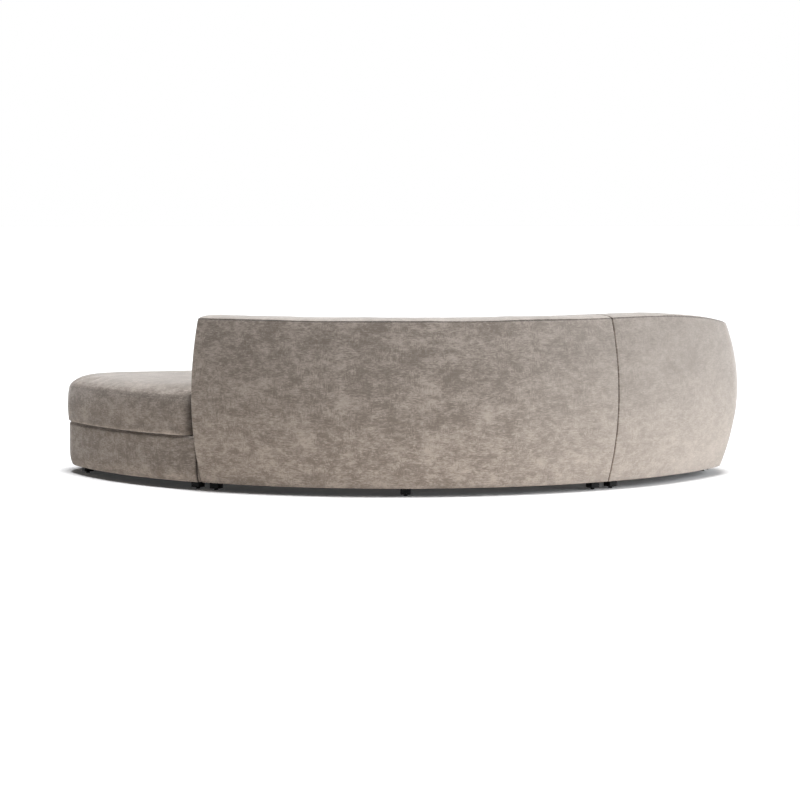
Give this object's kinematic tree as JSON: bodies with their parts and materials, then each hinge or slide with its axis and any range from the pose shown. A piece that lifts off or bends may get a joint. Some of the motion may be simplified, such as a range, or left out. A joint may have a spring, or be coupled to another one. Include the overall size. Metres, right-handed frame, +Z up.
{
  "type": "curved sofa",
  "caption": "Curved modular sofa with a tall barrel-shaped back, an end whose back wraps into a falling arm, and an open end with a rounded tip.",
  "frame": {"origin": "middle of the sofa's outline in plan, on the floor", "axes": "+Z up; +Y towards the convex rear; +X towards the open end; sitters face -Y"},
  "size_m": [2.9554, 1.4312, 0.735],
  "materials": {
    "velvet": "brushed velvet, mottled",
    "timber": "raw plywood and softwood",
    "webbing": "woven elastic bands",
    "felt": "firm pressed felt",
    "black_cloth": "thin woven cloth",
    "black_block": "satin black",
    "nylon": "moulded nylon",
    "zinc_steel": "zinc plated"
  },
  "bodies": {
    "centre_module": {"centre_base_pad": "velvet", "centre_base_frame": "timber", "centre_seat_webbing": "webbing", "centre_seat_deck": "felt", "centre_base_dust_cover": "black_cloth", "centre_back_pad": "velvet", "centre_back_frame": "timber", "centre_back_dust_cover": "black_cloth", "centre_rear_open_side_foot": "black_block", "centre_rear_open_side_glide": "nylon", "centre_rear_middle_foot": "black_block", "centre_rear_middle_glide": "nylon", "centre_rear_arm_side_foot": "black_block", "centre_rear_arm_side_glide": "nylon", "centre_front_open_side_foot": "black_block", "centre_front_open_side_glide": "nylon", "centre_front_arm_side_foot": "black_block", "centre_front_arm_side_glide": "nylon", "centre_front_connector_open_side": "zinc_steel", "centre_rear_connector_open_side": "zinc_steel", "centre_front_connector_arm_side": "zinc_steel", "centre_rear_connector_arm_side": "zinc_steel"},
    "centre_cushion": {"centre_seat_cushion": "velvet"},
    "open_end_module": {"open_end_base_pad": "velvet", "open_end_base_frame": "timber", "open_end_seat_webbing": "webbing", "open_end_seat_deck": "felt", "open_end_base_dust_cover": "black_cloth", "open_end_rear_joint_foot": "black_block", "open_end_rear_joint_glide": "nylon", "open_end_rear_tip_foot": "black_block", "open_end_rear_tip_glide": "nylon", "open_end_front_tip_foot": "black_block", "open_end_front_tip_glide": "nylon", "open_end_front_joint_foot": "black_block", "open_end_front_joint_glide": "nylon", "open_end_front_connector": "zinc_steel", "open_end_rear_connector": "zinc_steel"},
    "open_end_cushion": {"open_end_seat_cushion": "velvet"},
    "arm_end_module": {"arm_end_base_pad": "velvet", "arm_end_base_frame": "timber", "arm_end_seat_webbing": "webbing", "arm_end_seat_deck": "felt", "arm_end_base_dust_cover": "black_cloth", "arm_end_back_pad": "velvet", "arm_end_back_frame": "timber", "arm_end_back_dust_cover": "black_cloth", "arm_end_rear_joint_foot": "black_block", "arm_end_rear_joint_glide": "nylon", "arm_end_rear_corner_foot": "black_block", "arm_end_rear_corner_glide": "nylon", "arm_end_arm_front_foot": "black_block", "arm_end_arm_front_glide": "nylon", "arm_end_front_joint_foot": "black_block", "arm_end_front_joint_glide": "nylon", "arm_end_front_connector": "zinc_steel", "arm_end_rear_connector": "zinc_steel"},
    "arm_end_cushion": {"arm_end_seat_cushion": "velvet"}
  },
  "joints": [
    {"name": "centre_cushion_lift", "type": "slide", "parent": "centre_module", "child": "centre_cushion", "axis": [0, 0, 1], "range_m": [0, 0.3]},
    {"name": "open_end_lift", "type": "slide", "parent": "centre_module", "child": "open_end_module", "axis": [0, 0, 1], "range_m": [0, 0.08]},
    {"name": "open_end_cushion_lift", "type": "slide", "parent": "open_end_module", "child": "open_end_cushion", "axis": [0, 0, 1], "range_m": [0, 0.3]},
    {"name": "arm_end_lift", "type": "slide", "parent": "centre_module", "child": "arm_end_module", "axis": [0, 0, 1], "range_m": [0, 0.08]},
    {"name": "arm_end_cushion_lift", "type": "slide", "parent": "arm_end_module", "child": "arm_end_cushion", "axis": [0, 0, 1], "range_m": [0, 0.3]}
  ]
}
